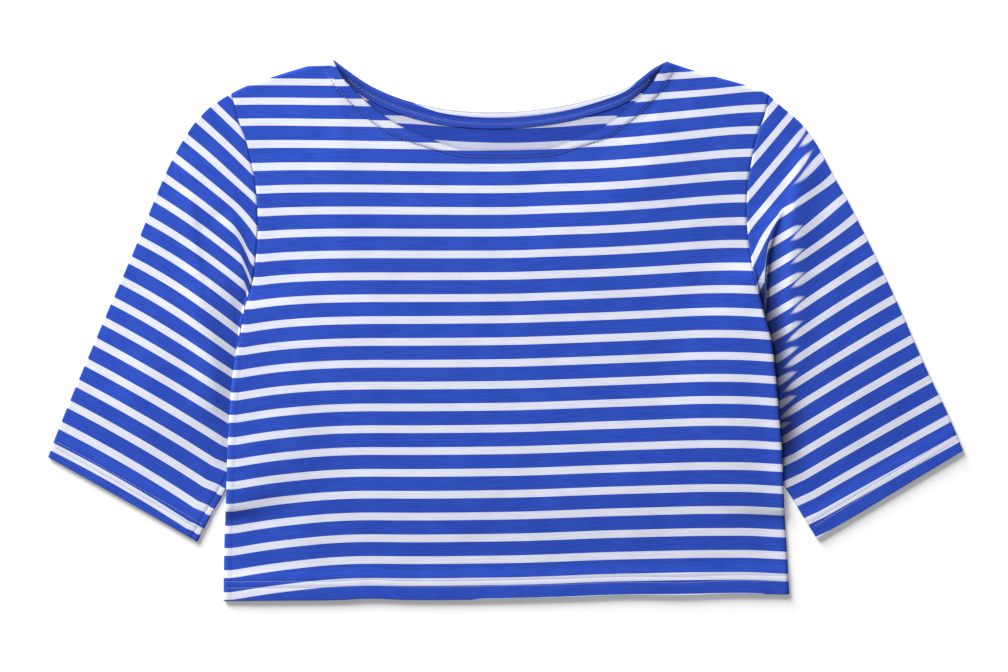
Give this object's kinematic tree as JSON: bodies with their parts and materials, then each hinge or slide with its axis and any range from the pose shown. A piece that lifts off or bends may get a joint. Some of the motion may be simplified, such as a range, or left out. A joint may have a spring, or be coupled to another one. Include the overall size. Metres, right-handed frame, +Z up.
{
  "type": "striped jersey crop top, laid flat",
  "caption": "Boxy boat-neck crop top in blue and white striped cotton jersey, with set-in elbow sleeves, lying flat with its front up.",
  "frame": {"origin": "centre of the laid garment's outline, on the surface it lies on", "axes": "+X across the garment from cuff to cuff, +Y from the hem to the shoulders, +Z up through the cloth, from back to front"},
  "size_m": [0.798, 0.472, 0.0071],
  "materials": {
    "striped_jersey": "matte cotton jersey, blue with narrow white stripes",
    "neck_tape": "matte plain blue cotton tape"
  },
  "bodies": {
    "root": {"front_panel": "striped_jersey", "back_panel": "striped_jersey", "sleeve_left": "striped_jersey", "sleeve_right": "striped_jersey", "neck_tape": "neck_tape"}
  },
  "joints": []
}
